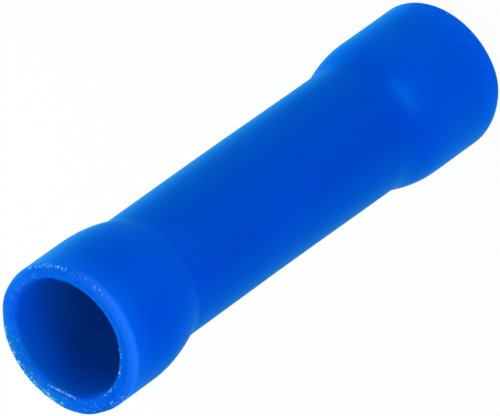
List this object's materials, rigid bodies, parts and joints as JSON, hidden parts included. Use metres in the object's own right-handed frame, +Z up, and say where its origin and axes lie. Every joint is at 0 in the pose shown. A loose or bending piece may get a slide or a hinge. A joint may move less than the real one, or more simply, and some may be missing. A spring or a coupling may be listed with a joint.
{
  "type": "butt splice connector",
  "caption": "Insulated butt splice connector: a tinned copper crimp barrel held in a blue plastic sleeve with a belled wire entry at each end.",
  "frame": {"origin": "centre of the lower end face, on the floor that the connector stands on", "axes": "+Z up along the connector's axis, towards the upper wire entry; X and Y across it"},
  "size_m": [0.0066, 0.0066, 0.025],
  "materials": {
    "blue_pvc": "semi-matt, cut ends slightly rough",
    "tinned_copper": "satin tin plating on copper"
  },
  "bodies": {
    "root": {"insulating_sleeve": "blue_pvc", "crimp_barrel": "tinned_copper"}
  },
  "joints": []
}
